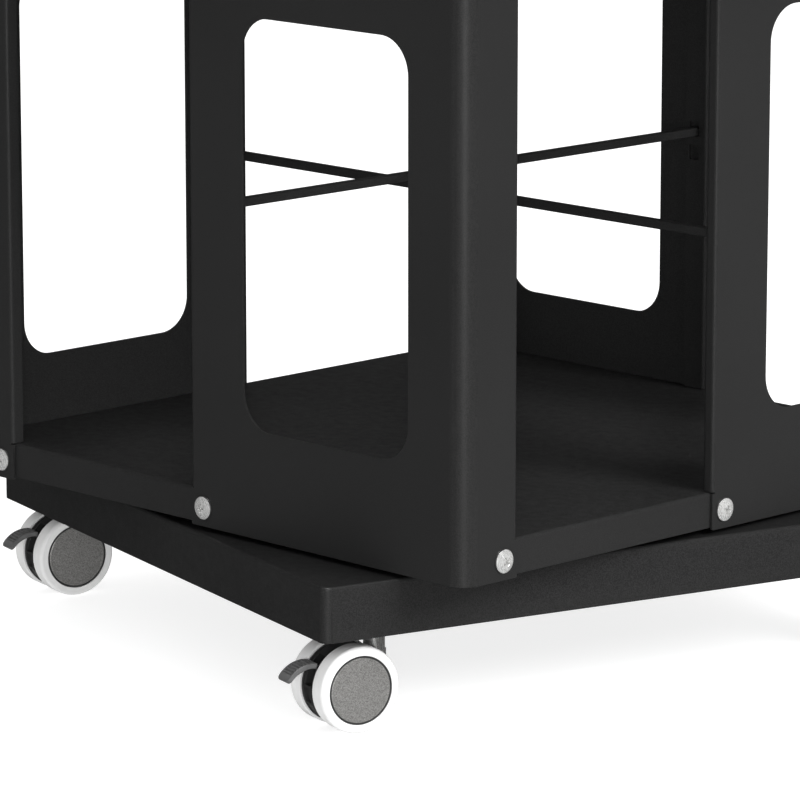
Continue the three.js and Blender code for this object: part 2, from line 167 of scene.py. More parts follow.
# The brake pedal: its blade follows an arc, with angles in degrees.
BLADE_CENTRE = Vector((-22.6 - TRAIL, 21))
BLADE_RADIUS = 17.2
BLADE_THICKNESS = 2.9
BLADE_HALF = 5.8
BLADE_START = 79
BLADE_END = 150
BLADE_STATIONS = 96
THINNING = 0.4  # of the blade at its tip
THINNING_FROM = 115
TIP_CORNER = 2.6
RIB_COUNT = 6
RIB_FROM = 92
RIB_TO = 134
RIB_RISE = 1.1
ARM_HALF = 2.8
ARM_HALF_HEIGHT = 1.2
EYE_RADIUS = 2.7


# ---- Outlines ----

def arc(centre, radius, start, end, steps):
    """Points on an arc, angles in degrees."""
    angles = [math.radians(start + (end - start) * i / steps) for i in range(steps + 1)]
    return [Vector((centre[0] + radius * math.cos(a), centre[1] + radius * math.sin(a)))
            for a in angles]


def circle(radius, count):
    """Points evenly spaced round the origin."""
    return arc((0, 0), radius, 0, 360, count)[:-1]


def centred(x, y):
    """A rectangle about the origin, from its half sizes."""
    return [(-x, -y), (x, -y), (x, y), (-x, y)]


def filleted(points, radii, steps=5):
    """A closed outline whose corners are rounded, each to its own radius."""
    outline = []
    for i, point in enumerate(points):
        corner = Vector(point)
        if not radii[i]:
            outline.append(corner)
            continue
        to_last = (Vector(points[i - 1]) - corner).normalized()
        to_next = (Vector(points[(i + 1) % len(points)]) - corner).normalized()
        half = to_last.angle(to_next) / 2
        reach = radii[i] / math.tan(half)
        centre = corner + (to_last + to_next).normalized() * (radii[i] / math.sin(half))
        first = corner + to_last * reach - centre
        last = corner + to_next * reach - centre
        turn = first.angle_signed(last)
        for k in range(steps + 1):
            spoke = first.copy()
            spoke.rotate(Matrix.Rotation(-turn * k / steps, 2))
            outline.append(centre + spoke)
    return outline


def rounded_rectangle(left, bottom, width, height, radius, steps=8):
    right, top = left + width, bottom + height
    corners = [(left, bottom), (right, bottom), (right, top), (left, top)]
    return filleted(corners, [radius] * len(corners), steps)


def inside(point, outline):
    """Whether a point lies within a closed outline."""
    found = False
    for a, b in zip(outline, outline[1:] + outline[:1]):
        if (a.y > point.y) != (b.y > point.y):
            if point.x < a.x + (point.y - a.y) * (b.x - a.x) / (b.y - a.y):
                found = not found
    return found


# ---- Mesh helpers ----

FLAT = 0.99995  # a face whose normal lies at least this far along an axis is a flat
MERGE = 0.001  # vertices nearer than this become one


def baked(obj):
    """The object's mesh with its modifiers applied; the object is removed."""
    graph = bpy.context.evaluated_depsgraph_get()
    mesh = bpy.data.meshes.new_from_object(obj.evaluated_get(graph), depsgraph=graph)
    bpy.data.objects.remove(obj)
    return mesh


def temporary(bm):
    """A scratch object from a bmesh, with its faces pointing out."""
    bmesh.ops.recalc_face_normals(bm, faces=bm.faces)
    mesh = bpy.data.meshes.new("scratch")
    bm.to_mesh(mesh)
    bm.free()
    mesh.polygons.foreach_set("use_smooth", [True] * len(mesh.polygons))
    obj = bpy.data.objects.new("scratch", mesh)
    scene.collection.objects.link(obj)
    return obj


def combined(bm, *steps):
    """A bmesh joined with, cut by or clipped to others: each step is (operation, bmesh)."""
    obj = temporary(bm)
    tools = []
    for operation, tool in steps:
        tools.append(temporary(tool))
        modifier = obj.modifiers.new("combine", "BOOLEAN")
        modifier.operation = operation
        modifier.solver = "EXACT"
        modifier.object = tools[-1]
    mesh = baked(obj)
    for tool in tools:
        bpy.data.objects.remove(tool)
    result = bmesh.new()
    result.from_mesh(mesh)
    bmesh.ops.remove_doubles(result, verts=result.verts, dist=MERGE)
    return result


def finished(name, bm, material, edge=0.0, steps=2, angle=40):
    """A named mesh in metres: sharp edges rounded, flats flat and curves smooth."""
    obj = temporary(bm)
    if edge:
        rounding = obj.modifiers.new("edge", "BEVEL")
        rounding.width = edge
        rounding.segments = steps
        rounding.limit_method = "ANGLE"
        rounding.angle_limit = math.radians(angle)
        rounding.miter_outer = "MITER_ARC"
        result = bmesh.new()
        result.from_mesh(baked(obj))
        obj = temporary(result)
    smooth = [max(abs(value) for value in face.normal) < FLAT for face in obj.data.polygons]
    obj.data.polygons.foreach_set("use_smooth", smooth)
    normals = obj.modifiers.new("normals", "WEIGHTED_NORMAL")
    normals.weight = 100
    normals.keep_sharp = True
    mesh = baked(obj)
    mesh.name = name
    mesh.transform(Matrix.Scale(MM, 4))
    mesh.materials.clear()
    mesh.materials.append(material)
    return mesh


def place(name, mesh, body, matrix=Matrix.Identity(4), replaces=()):
    """Puts a mesh in the scene as a piece that rides on a body."""
    piece = bpy.data.objects.new(name, mesh)
    piece.matrix_world = matrix
    scene.collection.objects.link(piece)
    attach(piece, body)
    if replaces:
        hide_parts(*replaces)


def at(x=0, y=0, z=0, turn=0):
    """A place in millimetres, turned about Z."""
    return Matrix.Translation(Vector((x, y, z)) * MM) @ Matrix.Rotation(turn, 4, "Z")


def skinned(bm, rings):
    """Closes a body between rings of vertices: a face at each end, quads between the rings."""
    bm.faces.new(rings[0])
    bm.faces.new(rings[-1])
    for first, second in zip(rings, rings[1:]):
        for n in range(len(first)):
            m = (n + 1) % len(first)
            bm.faces.new((first[n], first[m], second[m], second[n]))
    return bm


def prism(outline, low, high, axis="Z"):
    """A closed prism from a 2-D outline; on axis X the outline lies in Y and Z."""
    bm = bmesh.new()
    rings = []
    for along in (low, high):
        spots = [(along, p[0], p[1]) if axis == "X" else (p[0], p[1], along) for p in outline]
        rings.append([bm.verts.new(spot) for spot in spots])
    return skinned(bm, rings)


def cuboid(low, high):
    return prism([(low[0], low[1]), (high[0], low[1]), (high[0], high[1]), (low[0], high[1])],
                 low[2], high[2])


def lathe(profile, segments, closed=False):
    """A body of revolution about Z from (radius, height) points. An open profile starts and
    ends on the axis; a closed one is a ring."""
    bm = bmesh.new()
    rings = []
    for radius, height in profile:
        spots = circle(radius, segments) if radius else [Vector((0, 0))]
        rings.append([bm.verts.new((p.x, p.y, height)) for p in spots])
    pairs = list(zip(rings, rings[1:]))
    if closed:
        pairs.append((rings[-1], rings[0]))
    for first, second in pairs:
        for i in range(segments):
            j = (i + 1) % segments
            if len(first) == 1:
                bm.faces.new((first[0], second[j], second[i]))
            elif len(second) == 1:
                bm.faces.new((first[i], first[j], second[0]))
            else:
                bm.faces.new((first[i], first[j], second[j], second[i]))
    return bm


def cylinder(radius, low, high, segments=48):
    return lathe([(0, low), (radius, low), (radius, high), (0, high)], segments)


def moved(bm, matrix):
    bmesh.ops.transform(bm, matrix=matrix, verts=bm.verts)
    return bm


def across(bm, y=0, z=0, side=1):
    """Turns a body of revolution about Z to one about X, at (y, z)."""
    turn = Matrix.Rotation(side * math.pi / 2, 4, "Y")
    return moved(bm, Matrix.Translation((0, y, z)) @ turn)


def joined(bms):
    """Several bmeshes as one mesh of separate shells."""
    result = bmesh.new()
    for bm in bms:
        mesh = bpy.data.meshes.new("scratch")
        bm.to_mesh(mesh)
        bm.free()
        result.from_mesh(mesh)
        bpy.data.meshes.remove(mesh)
    return result


def gathered(name, mesh, matrices):
    """One mesh made of copies of another, each at its own place."""
    bm = bmesh.new()
    for matrix in matrices:
        copy = mesh.copy()
        copy.transform(matrix)
        bm.from_mesh(copy)
        bpy.data.meshes.remove(copy)
    group = bpy.data.meshes.new(name)
    bm.to_mesh(group)
    bm.free()
    group.materials.append(mesh.materials[0])
    return group


# ---- Materials ----

TONE_DRIFT = 0.002  # between the powder coat's deeper and paler areas


class Finish:
    """A procedural material: noises in object space that vary colour, roughness and bump."""

    def __init__(self, name):
        self.material = bpy.data.materials.new(name)
        self.material.use_nodes = True
        self.tree = self.material.node_tree
        self.shader = self.tree.nodes["Principled BSDF"]
        self.normal = None

    def link(self, source, target):
        self.tree.links.new(source, target)

    def space(self):
        return self.tree.nodes.new("ShaderNodeTexCoord").outputs["Object"]

    def stretched(self, scale):
        """Object space, stretched by a factor along each axis."""
        mapping = self.tree.nodes.new("ShaderNodeMapping")
        mapping.inputs["Scale"].default_value = scale
        self.link(self.space(), mapping.inputs["Vector"])
        return mapping.outputs["Vector"]

    def noise(self, scale, detail=2, space=None):
        node = self.tree.nodes.new("ShaderNodeTexNoise")
        node.inputs["Scale"].default_value = scale
        node.inputs["Detail"].default_value = detail
        self.link(space or self.space(), node.inputs["Vector"])
        return node.outputs["Fac"]

    def cells(self, scale):
        node = self.tree.nodes.new("ShaderNodeTexVoronoi")
        node.inputs["Scale"].default_value = scale
        self.link(self.space(), node.inputs["Vector"])
        return node

    def spread(self, source, low, high, start=0.3, end=0.7):
        """Maps a noise's middle range onto low to high."""
        node = self.tree.nodes.new("ShaderNodeMapRange")
        for name, value in zip(("From Min", "From Max", "To Min", "To Max"),
                               (start, end, low, high)):
            node.inputs[name].default_value = value
        self.link(source, node.inputs["Value"])
        return node.outputs["Result"]

    def blend(self, factor, first, second):
        node = self.tree.nodes.new("ShaderNodeMix")
        node.data_type = "RGBA"
        for socket, value in ((node.inputs[6], first), (node.inputs[7], second)):
            if isinstance(value, bpy.types.NodeSocket):
                self.link(value, socket)
            else:
                socket.default_value = (*value, 1)
        self.link(factor, node.inputs[0])
        return node.outputs[2]

    def colour(self, source):
        self.link(source, self.shader.inputs["Base Color"])

    def roughness(self, source):
        self.link(source, self.shader.inputs["Roughness"])

    def bump(self, source, height):
        """Adds relief of the given height in millimetres to what is there already."""
        node = self.tree.nodes.new("ShaderNodeBump")
        node.inputs["Strength"].default_value = 1
        node.inputs["Distance"].default_value = height * MM
        self.link(source, node.inputs["Height"])
        if self.normal:
            self.link(self.normal, node.inputs["Normal"])
        self.normal = node.outputs["Normal"]
        self.link(self.normal, self.shader.inputs["Normal"])

    def set(self, **values):
        for name, value in values.items():
            self.shader.inputs[name.replace("_", " ")].default_value = value


def powder_coat(name, tone, contrast, gloss, ripple):
    """Matt black powder coat: grain over a soft orange peel, with a slow drift of tone. The
    grain's colours lie within contrast of the tone; ripple is the peel's height in mm."""
    finish = Finish(name)
    grain = finish.spread(finish.noise(2300, 1), 0, 1, 0.38, 0.62)
    drift = finish.spread(finish.noise(7, 3), 0, 1)
    shades = [finish.blend(grain, (shade - contrast,) * 3, (shade + contrast,) * 3)
              for shade in (tone, tone + TONE_DRIFT)]
    finish.colour(finish.blend(drift, *shades))
    finish.roughness(finish.spread(finish.noise(160, 3), 0.4, 0.47))
    finish.bump(finish.noise(420, 2), ripple)
    finish.bump(finish.noise(3000, 1), 0.03)
    finish.set(Specular_IOR_Level=gloss)
    return finish.material


def zinc_plate(name, dull, bright, metallic):
    """Bright zinc: faint clouding and drawn streaks, both slightly in relief."""
    finish = Finish(name)
    cloud = finish.noise(500, 3)
    finish.colour(finish.blend(finish.spread(cloud, 0, 1), dull, bright))
    streaks = finish.noise(2200, 2, finish.stretched((1, 1, 0.06)))
    finish.roughness(finish.spread(streaks, 0.2, 0.36))
    finish.bump(streaks, 0.006)
    finish.bump(cloud, 0.01)
    finish.set(Metallic=metallic)
    return finish.material


def bearing_steel():
    """Rolled bearing steel with a thin film of grease."""
    finish = Finish("bearing_steel")
    film = finish.noise(90, 4)
    finish.colour(finish.blend(finish.spread(film, 0, 1), (0.36, 0.36, 0.37), (0.56, 0.56, 0.57)))
    finish.roughness(finish.spread(film, 0.18, 0.4))
    finish.bump(finish.noise(1400, 2), 0.004)
    finish.set(Metallic=1, Coat_Weight=0.25, Coat_Roughness=0.15)
    return finish.material


def housing_plastic():
    """Moulded black nylon with a fine spark-eroded grain."""
    finish = Finish("black_nylon")
    grain = finish.noise(2400, 2)
    drift = finish.noise(60, 2)
    finish.colour(finish.blend(finish.spread(drift, 0, 1), (0.018, 0.018, 0.018),
                               (0.028, 0.028, 0.028)))
    finish.roughness(finish.spread(grain, 0.3, 0.46))
    finish.bump(grain, 0.01)
    finish.set(Specular_IOR_Level=0.45)
    return finish.material


def pedal_plastic():
    """Moulded grey nylon, a little rubbed."""
    finish = Finish("grey_nylon")
    grain = finish.noise(2000, 3)
    rub = finish.noise(220, 3)
    finish.colour(finish.blend(finish.spread(rub, 0, 1), (0.07, 0.07, 0.071), (0.11, 0.11, 0.11)))
    finish.roughness(finish.spread(grain, 0.42, 0.6))
    finish.bump(grain, 0.014)
    finish.set(Specular_IOR_Level=0.45)
    return finish.material


def white_polyurethane():
    """Smooth white polyurethane with the faintest clouding and scuffs."""
    finish = Finish("white_polyurethane")
    cloud = finish.noise(70, 4)
    scuff = finish.noise(900, 3, finish.stretched((1, 0.12, 0.12)))
    clean = finish.blend(finish.spread(cloud, 0, 1), (0.6, 0.6, 0.6), (0.66, 0.66, 0.655))
    finish.colour(finish.blend(finish.spread(scuff, 0, 0.35, 0.6, 0.85), clean, (0.7, 0.7, 0.69)))
    finish.roughness(finish.spread(cloud, 0.32, 0.45))
    finish.bump(scuff, 0.006)
    return finish.material


def cap_lacquer():
    """Grey metallic lacquer with fine flake."""
    finish = Finish("metallic_grey_lacquer")
    flake = finish.cells(2600)
    grain = finish.noise(1300, 3)
    base = finish.blend(finish.spread(grain, 0, 1), (0.13, 0.128, 0.124), (0.27, 0.266, 0.258))
    finish.colour(finish.blend(finish.spread(flake.outputs["Color"], 0, 0.5, 0.3, 1),
                               base, (0.5, 0.495, 0.48)))
    finish.roughness(finish.spread(grain, 0.32, 0.44))
    finish.bump(flake.outputs["Distance"], 0.006)
    finish.set(Metallic=0.5)
    return finish.material


# ---- Corner panels ----

class FoldedSection:
    """A folded strip seen from above: straight runs and left-hand bends, measured along its
    outer skin. The sheet lies to the left of the direction of travel."""

    def __init__(self, start, heading):
        self.marks = [0.0]  # distances along the skin where a run or bend step ends
        self.points = [Vector(start)]
        self.headings = [heading]

    def _step(self, distance, point, heading):
        self.marks.append(self.marks[-1] + distance)
        self.points.append(point)
        self.headings.append(heading)

    def run(self, distance):
        heading = self.headings[-1]
        ahead = Vector((math.cos(heading), math.sin(heading)))
        self._step(distance, self.points[-1] + ahead * distance, heading)
        return self.marks[-1]

    def bend(self, radius, steps):
        """A quarter turn to the left."""
        start = self.headings[-1]
        side = Vector((-math.sin(start), math.cos(start)))
        centre = self.points[-1] + side * radius
        for i in range(1, steps + 1):
            heading = start + math.pi / 2 * i / steps
            out = Vector((math.sin(heading), -math.cos(heading)))
            self._step(math.pi / 2 * radius / steps, centre + out * radius, heading)
        return self.marks[-1]

    def at(self, distance):
        """The outer skin's point and the direction into the sheet, at a distance along it."""
        index = min(bisect_right(self.marks, distance + 1e-6), len(self.marks) - 1) - 1
        span = self.marks[index + 1] - self.marks[index]
        share = (distance - self.marks[index]) / span
        point = self.points[index].lerp(self.points[index + 1], share)
        turn = self.headings[index + 1] - self.headings[index]
        heading = self.headings[index] + turn * share
        return point, Vector((-math.sin(heading), math.cos(heading)))

    def beyond(self, mark, distance):
        """As at(), but past a mark the sheet stays flat instead of following the fold."""
        point, inward = self.at(mark)
        ahead = Vector((inward.y, -inward.x))
        return point + ahead * (distance - mark), inward


# Heights on the lowest tier's panel.
PANEL_BOTTOM = panel_low.z
PANEL_TOP = PANEL_BOTTOM + PITCH - SEAM
HEM_BOTTOM = SHELF_TOP + GAP
HEM_TOP = SHELF_TOP - SHELF_RIM + PITCH - GAP
FOOT_TOP = HEM_BOTTOM - RELIEF
TAB_TOP = panel_high.z
TAB_BOTTOM = PANEL_TOP - TAB_ROOT


class PanelSection(FoldedSection):
    """The corner panel from above, with the distances at which its parts start and end."""

    def __init__(self):
        super().__init__((FREE_EDGE + RETURN, -FACE + LIP), math.pi)
        self.back_end = self.run(RETURN - FOLD)
        self.bend(FOLD, FOLD_STEPS)
        self.lip_end = self.run(LIP - 2 * FOLD)
        self.wide_start = self.bend(FOLD, FOLD_STEPS)
        self.run(FACE - CORNER_BEND - FREE_EDGE - FOLD)
        self.bend(CORNER_BEND, CORNER_STEPS)
        self.narrow_end = self.run(NARROW_EDGE + FACE - CORNER_BEND - FOLD)
        self.far_lip_start = self.bend(FOLD, FOLD_STEPS)
        self.far_lip_end = self.run(LIP - 2 * FOLD)
        self.far_back_start = self.bend(FOLD, FOLD_STEPS)
        self.end = self.run(RETURN - FOLD)

    def folded(self, point):
        """The outer skin's point and the direction into the sheet, for a point of the blank.
        The foot and the far hem's lower part stay flat past their folds."""
        if point.y < (FOOT_TOP + HEM_BOTTOM) / 2:
            if point.x < self.wide_start:
                return self.beyond(self.wide_start, point.x)
            if point.x > self.narrow_end:
                return self.beyond(self.narrow_end, point.x)
        if point.x > self.far_lip_end and point.y < TAB_BOTTOM - RELIEF / 2:
            return self.beyond(self.far_lip_end, point.x)
        return self.at(point.x)

    def outline(self):
        """The blank's outline, as distances along the section and heights."""
        wide, narrow = self.wide_start - FOLD, self.narrow_end + FOLD
        far = self.far_lip_end + FOLD
        corners = [
            (wide, PANEL_BOTTOM, FOOT_CORNER), (narrow, PANEL_BOTTOM, FOOT_CORNER),
            (narrow, FOOT_TOP, 0), (self.narrow_end, FOOT_TOP, 0),
            (self.narrow_end, HEM_BOTTOM, 0), (far, HEM_BOTTOM, 0),
            (far, TAB_BOTTOM - RELIEF, 0), (self.far_lip_end, TAB_BOTTOM - RELIEF, 0),
            (self.far_lip_end, TAB_BOTTOM, 0), (self.end, TAB_BOTTOM, TAB_CORNER),
            (self.end, TAB_TOP, TAB_CORNER), (self.far_back_start, TAB_TOP, TAB_CORNER),
            (self.far_back_start, HEM_TOP, 0), (self.far_lip_start, HEM_TOP, 0),
            (self.far_lip_start, PANEL_TOP, 0), (self.lip_end, PANEL_TOP, 0),
            (self.lip_end, HEM_TOP, 0), (self.back_end, HEM_TOP, 0),
            (self.back_end, TAB_TOP, TAB_CORNER), (0, TAB_TOP, TAB_CORNER),
            (0, HEM_BOTTOM, TAB_CORNER), (self.wide_start, HEM_BOTTOM, 0),
            (self.wide_start, FOOT_TOP, 0), (wide, FOOT_TOP, 0),
        ]
        return filleted([(x, y) for x, y, _ in corners], [radius for _, _, radius in corners])

    def holes(self):
        """The window and the two slots that the divider rods' ends sit in."""
        window = rounded_rectangle(self.wide_start - FOLD + WINDOW_LEFT,
                                   SHELF_TOP + WINDOW_BOTTOM, WINDOW_WIDTH, WINDOW_HEIGHT,
                                   WINDOW_CORNER, WINDOW_STEPS)
        slot_left = FREE_EDGE + RETURN - SLOT_WIDTH / 2
        slots = [rounded_rectangle(slot_left, rod.z - GAP, SLOT_WIDTH, SLOT_HEIGHT, SLOT_CORNER, 3)
                 for rod in (rod_low, cross_rod_low)]
        return [window, *slots]


def flat_triangles(outline, holes, folds):
    """The blank's points and triangles, divided along every fold."""
    points, edges = [], []
    for loop in (outline, *holes):
        start = len(points)
        points += loop
        edges += [(start + n, start + (n + 1) % len(loop)) for n in range(len(loop))]
    for fold in folds:
        edges.append((len(points), len(points) + 1))
        points += [Vector((fold, PANEL_BOTTOM - 1)), Vector((fold, TAB_TOP + 1))]
    flat, _, triangles = delaunay_2d_cdt(points, edges, [], 0, 1e-4)[:3]

    kept = []
    for triangle in triangles:
        centre = sum((flat[n] for n in triangle), Vector((0, 0))) / len(triangle)
        if inside(centre, outline) and not any(inside(centre, hole) for hole in holes):
            kept.append(triangle)
    return flat, kept


def panel_mesh(material):
    """The corner panel of the lowest tier's front: a wide leg with its window along -Y, a
    narrow leg along +X, and hems, feet, tabs and rod slots cut from the one sheet."""
    section = PanelSection()
    flat, kept = flat_triangles(section.outline(), section.holes(), section.marks[1:-1])
    bm = bmesh.new()
    outer, inner = {}, {}
    for n in sorted({n for triangle in kept for n in triangle}):
        skin, inward = section.folded(flat[n])
        under = skin + inward * SHEET
        outer[n] = bm.verts.new((skin.x, skin.y, flat[n].y))
        inner[n] = bm.verts.new((under.x, under.y, flat[n].y))
    count = {}
    for triangle in kept:
        bm.faces.new([outer[n] for n in triangle])
        bm.faces.new([inner[n] for n in reversed(triangle)])
        for m, n in zip(triangle, triangle[1:] + triangle[:1]):
            key = (min(m, n), max(m, n))
            count[key] = count.get(key, 0) + 1
    for (m, n), uses in count.items():
        if uses == 1:
            bm.faces.new((outer[m], outer[n], inner[n], inner[m]))
    bmesh.ops.recalc_face_normals(bm, faces=bm.faces)
    bmesh.ops.dissolve_limit(bm, angle_limit=math.radians(0.5), verts=bm.verts, edges=bm.edges)
    return finished("corner_panel", bm, material, CUT_EDGE, 2, 50)


def build_panels(material):
    mesh = panel_mesh(material)
    for tier in range(1, TIERS + 1):
        for quarter, side in enumerate(SIDES):
            node = f"panel_{tier}_{side}"
            spot = at(z=(tier - 1) * PITCH, turn=quarter * math.pi / 2)
            place(f"{node}_sheet", mesh, "tower", spot, [node])


# ---- Pans, rods ----

def pan_bmesh(half, corner, bottom, top):
    """A shallow pan pressed from one sheet: a flat top, a soft bend and a turned-down rim."""
    inner_bend = PAN_BEND - SHEET
    outer = [(0.0, bottom + CUT_EDGE)]
    outer += arc((PAN_BEND, top - PAN_BEND), PAN_BEND, 180, 90, 6)
    inner = [(SHEET, bottom + CUT_EDGE)]
    inner += arc((PAN_BEND, top - PAN_BEND), inner_bend, 180, 90, 4)
    profile = outer[::-1] + [(CUT_EDGE, bottom), (SHEET - CUT_EDGE, bottom)] + inner
    bm = bmesh.new()
    loops = []
    for inset, height in profile:
        size = half - inset
        radius = max(corner - inset, 0.4)
        loop = rounded_rectangle(-size, -size, 2 * size, 2 * size, radius, 8)
        loops.append([bm.verts.new((p.x, p.y, height)) for p in loop])
    return skinned(bm, loops)


def build_pans(coat, top_coat):
    """The shelf pans, their flat tops in a coarser coat than their rims."""
    bm = pan_bmesh(SHELF_HALF, SHELF_CORNER, SHELF_TOP - SHELF_RIM, SHELF_TOP)
    mesh = finished("shelf_pan", bm, coat)
    mesh.materials.append(top_coat)
    for face in mesh.polygons:
        if face.normal.z > UPWARD:
            face.material_index = 1
    for level in range(TIERS + 1):
        node = f"shelf_pan_{level + 1}" if level < TIERS else "top_pan"
        place(f"{node}_sheet", mesh, "tower", at(z=level * PITCH), [node])


def build_rods(material):
    """The square divider rods, their ends sawn and broken."""
    half = (rod_high.y - rod_low.y) / 2
    reach = rod_high.x
    rod = prism(centred(half, half), -reach, reach, "X")
    bar = finished("divider_rod", rod, material, 0.5, 3)
    for tier in range(1, TIERS + 1):
        for kind, turn in (("low", 0), ("high", math.pi / 2)):
            node = f"divider_rod_{tier}_{kind}"
            spot = at(z=middle(node).z, turn=turn)
            place(f"{node}_bar", bar, "tower", spot, [node])


# ---- Screws and nuts ----

HEAD_RADIUS = 6.25
HEAD_HEIGHT = 2.6
HEAD_RIM = 0.6  # height at which the dome starts
HEAD_STEPS = 8
HEAD_LIFT = 0.4  # the head's underside, above the panel's face
SHANK_RADIUS = 2.9
SHANK_LENGTH = 10.5
RECESS_REACH = 3.5
RECESS_WIDTH = 1.7
RECESS_DEPTH = 2.4
RECESS_TAPER = 0.45  # the cross's reach at its bottom over that at its top
RECESS_NARROWING = 0.3  # its half width at its bottom over its width at its top
# A black ring under each screw's head, a little wider than the head, paints the shadow line round
# the head.
SHADOW_RING_BORE = 3  # a radius
SHADOW_RING_RADIUS = 6.75
SHADOW_RING_THICKNESS = 0.5
NUT_RADIUS = 5.77  # to the hexagon's corners
SCREW_TURN = 37  # degrees from one screw's recess to the next
LEVEL_TURN = 11


def cross_recess(reach, width, bottom, top):
    """The tapered cross of a driver's tip, pointing down."""
    wings = []
    for turn in (0, math.pi / 2):
        bm = bmesh.new()
        short, thin = reach * RECESS_TAPER, width * RECESS_NARROWING
        ends = ((centred(short, thin), bottom), (centred(reach, width / 2), top))
        rings = [[bm.verts.new((x, y, z)) for x, y in ring] for ring, z in ends]
        wings.append(moved(skinned(bm, rings), Matrix.Rotation(turn, 4, "Z")))
    return wings


def screw_mesh(material):
    """A truss-head screw along Z, its head's underside at zero and its shank below."""
    head, rise, rim = HEAD_RADIUS, HEAD_HEIGHT, HEAD_RIM
    dome_radius = (head ** 2 + (rise - rim) ** 2) / (2 * (rise - rim))
    dome = []
    for n in range(HEAD_STEPS + 1):
        radius = head * (1 - n / HEAD_STEPS)
        height = rim + math.sqrt(dome_radius ** 2 - radius ** 2) - (dome_radius - (rise - rim))
        dome.append((radius, height))
    profile = [(0, -SHANK_LENGTH), (SHANK_RADIUS - 0.8, -SHANK_LENGTH),
               (SHANK_RADIUS, -SHANK_LENGTH + 0.8), (SHANK_RADIUS, 0), (head - 0.3, 0),
               (head, 0.3)]
    body = lathe(profile + dome, 48)
    wings = cross_recess(RECESS_REACH, RECESS_WIDTH, rise - RECESS_DEPTH, rise + 0.8)
    bm = combined(body, *[("DIFFERENCE", wing) for wing in wings])
    return finished("truss_screw", bm, material, 0.12, 2, 45)


def shadow_ring_mesh(material):
    """A black nylon ring under a screw's head, a little wider than the head, that paints the
    shadow line round the head's edge.
    """
    bore, outer, top = SHADOW_RING_BORE, SHADOW_RING_RADIUS, SHADOW_RING_THICKNESS
    chamfer = 0.15
    profile = [(bore, 0), (outer - chamfer, 0), (outer, chamfer), (outer, top - chamfer),
               (outer - chamfer, top), (bore, top)]
    return finished("shadow_ring", lathe(profile, 48, True), material)


def nut_mesh(material):
    """A hexagon flange nut along Z with the screw's end in it, its flange at zero."""
    flange = lathe([(0, 0), (6.6, 0), (6.8, 0.5), (5.4, 1.4), (0, 1.4)], 36)
    body = prism(arc((0, 0), NUT_RADIUS, 30, 330, 5), 1.2, 5.6)
    crown = lathe([(0, 1), (6.4, 1), (6.4, 4.7), (5, 5.7), (0, 5.7)], 36)
    shaped = combined(body, ("INTERSECT", crown))
    end = cylinder(2.85, 1, 7.4, 24)
    return finished("flange_nut", joined([flange, shaped, end]), material, 0.15, 2, 50)


def screw_spots(level):
    """Each screw's place on a level: the face point and the way out, for all four sides."""
    height = SHELF_TOP - SCREW_BELOW_SHELF + level * PITCH
    face = FACE if level < TIERS else SHELF_HALF
    for quarter in range(len(SIDES)):
        turn = Matrix.Rotation(quarter * math.pi / 2, 3, "Z")
        wide = Vector((0, -face, height)), Vector((0, -1, 0))
        narrow = Vector((face, NARROW_EDGE - SCREW_FROM_EDGE, height)), Vector((1, 0, 0))
        for point, out in (wide, narrow):
            yield turn @ point, turn @ out


def build_screws(zinc, nylon):
    """One piece for each level's eight screws, one for the black rings under their heads that
    paint the shadow line round each head, and one for their nuts.
    """
    screw = screw_mesh(zinc)
    shadow_ring = shadow_ring_mesh(nylon)
    nut = nut_mesh(zinc)
    for level in range(TIERS + 1):
        screws, shadow_rings, nuts = [], [], []
        for n, (point, out) in enumerate(screw_spots(level)):
            aim = out.to_track_quat("Z", "Y").to_matrix().to_4x4()
            spin = Matrix.Rotation(math.radians(SCREW_TURN * n + LEVEL_TURN * level), 4, "Z")
            # A black ring under the head paints the shadow line round it.
            shadow_rings.append(Matrix.Translation(point * MM) @ aim)
            screws.append(Matrix.Translation((point + out * HEAD_LIFT) * MM) @ aim @ spin)
            behind = FACE - LIP if level else SHELF_HALF - SHEET
            seat = point - out * (point.dot(out) - behind)
            back = (-out).to_track_quat("Z", "Y").to_matrix().to_4x4()
            nuts.append(Matrix.Translation(seat * MM) @ back @ spin)
        kinds = (("screws", screw, screws, "zinc_steel"),
                 ("shadow_rings", shadow_ring, shadow_rings, "housing_black"), ("nuts", nut, nuts, "zinc_steel"))
        for kind, mesh, places, slot in kinds:
            name = f"{kind}_level_{level + 1}"
            place(name, gathered(name, mesh, places), "tower")


# ---- Turntable ----

RACE_RADIUS = 75
RACE_HALF_WIDTH = 10
BALL_RADIUS = 3.5
BALL_COUNT = 24
BALL_ROOM = 0.25  # between a ball and the races' grooves
CAGE_HALF_WIDTH = 6
CAGE_HALF_THICKNESS = 0.8
CARRIER_WEB = 76  # radius of the carrier ring's upright
CARRIER_FOOT = 83  # radius of its lower flange
RING_SEGMENTS = 96


def race_profile(flat, grooved, ball_height):
    """A race's section: a flat side and a side with the balls' groove."""
    groove = BALL_RADIUS + BALL_ROOM
    inner, outer = RACE_RADIUS - RACE_HALF_WIDTH, RACE_RADIUS + RACE_HALF_WIDTH
    rise = grooved - ball_height
    start = math.degrees(math.asin(rise / groove))
    end = (-180 if rise < 0 else 180) - start
    sweep = arc((RACE_RADIUS, ball_height), groove, start, end, 10)
    return [(outer, flat), (outer, grooved), *sweep, (inner, grooved), (inner, flat)]


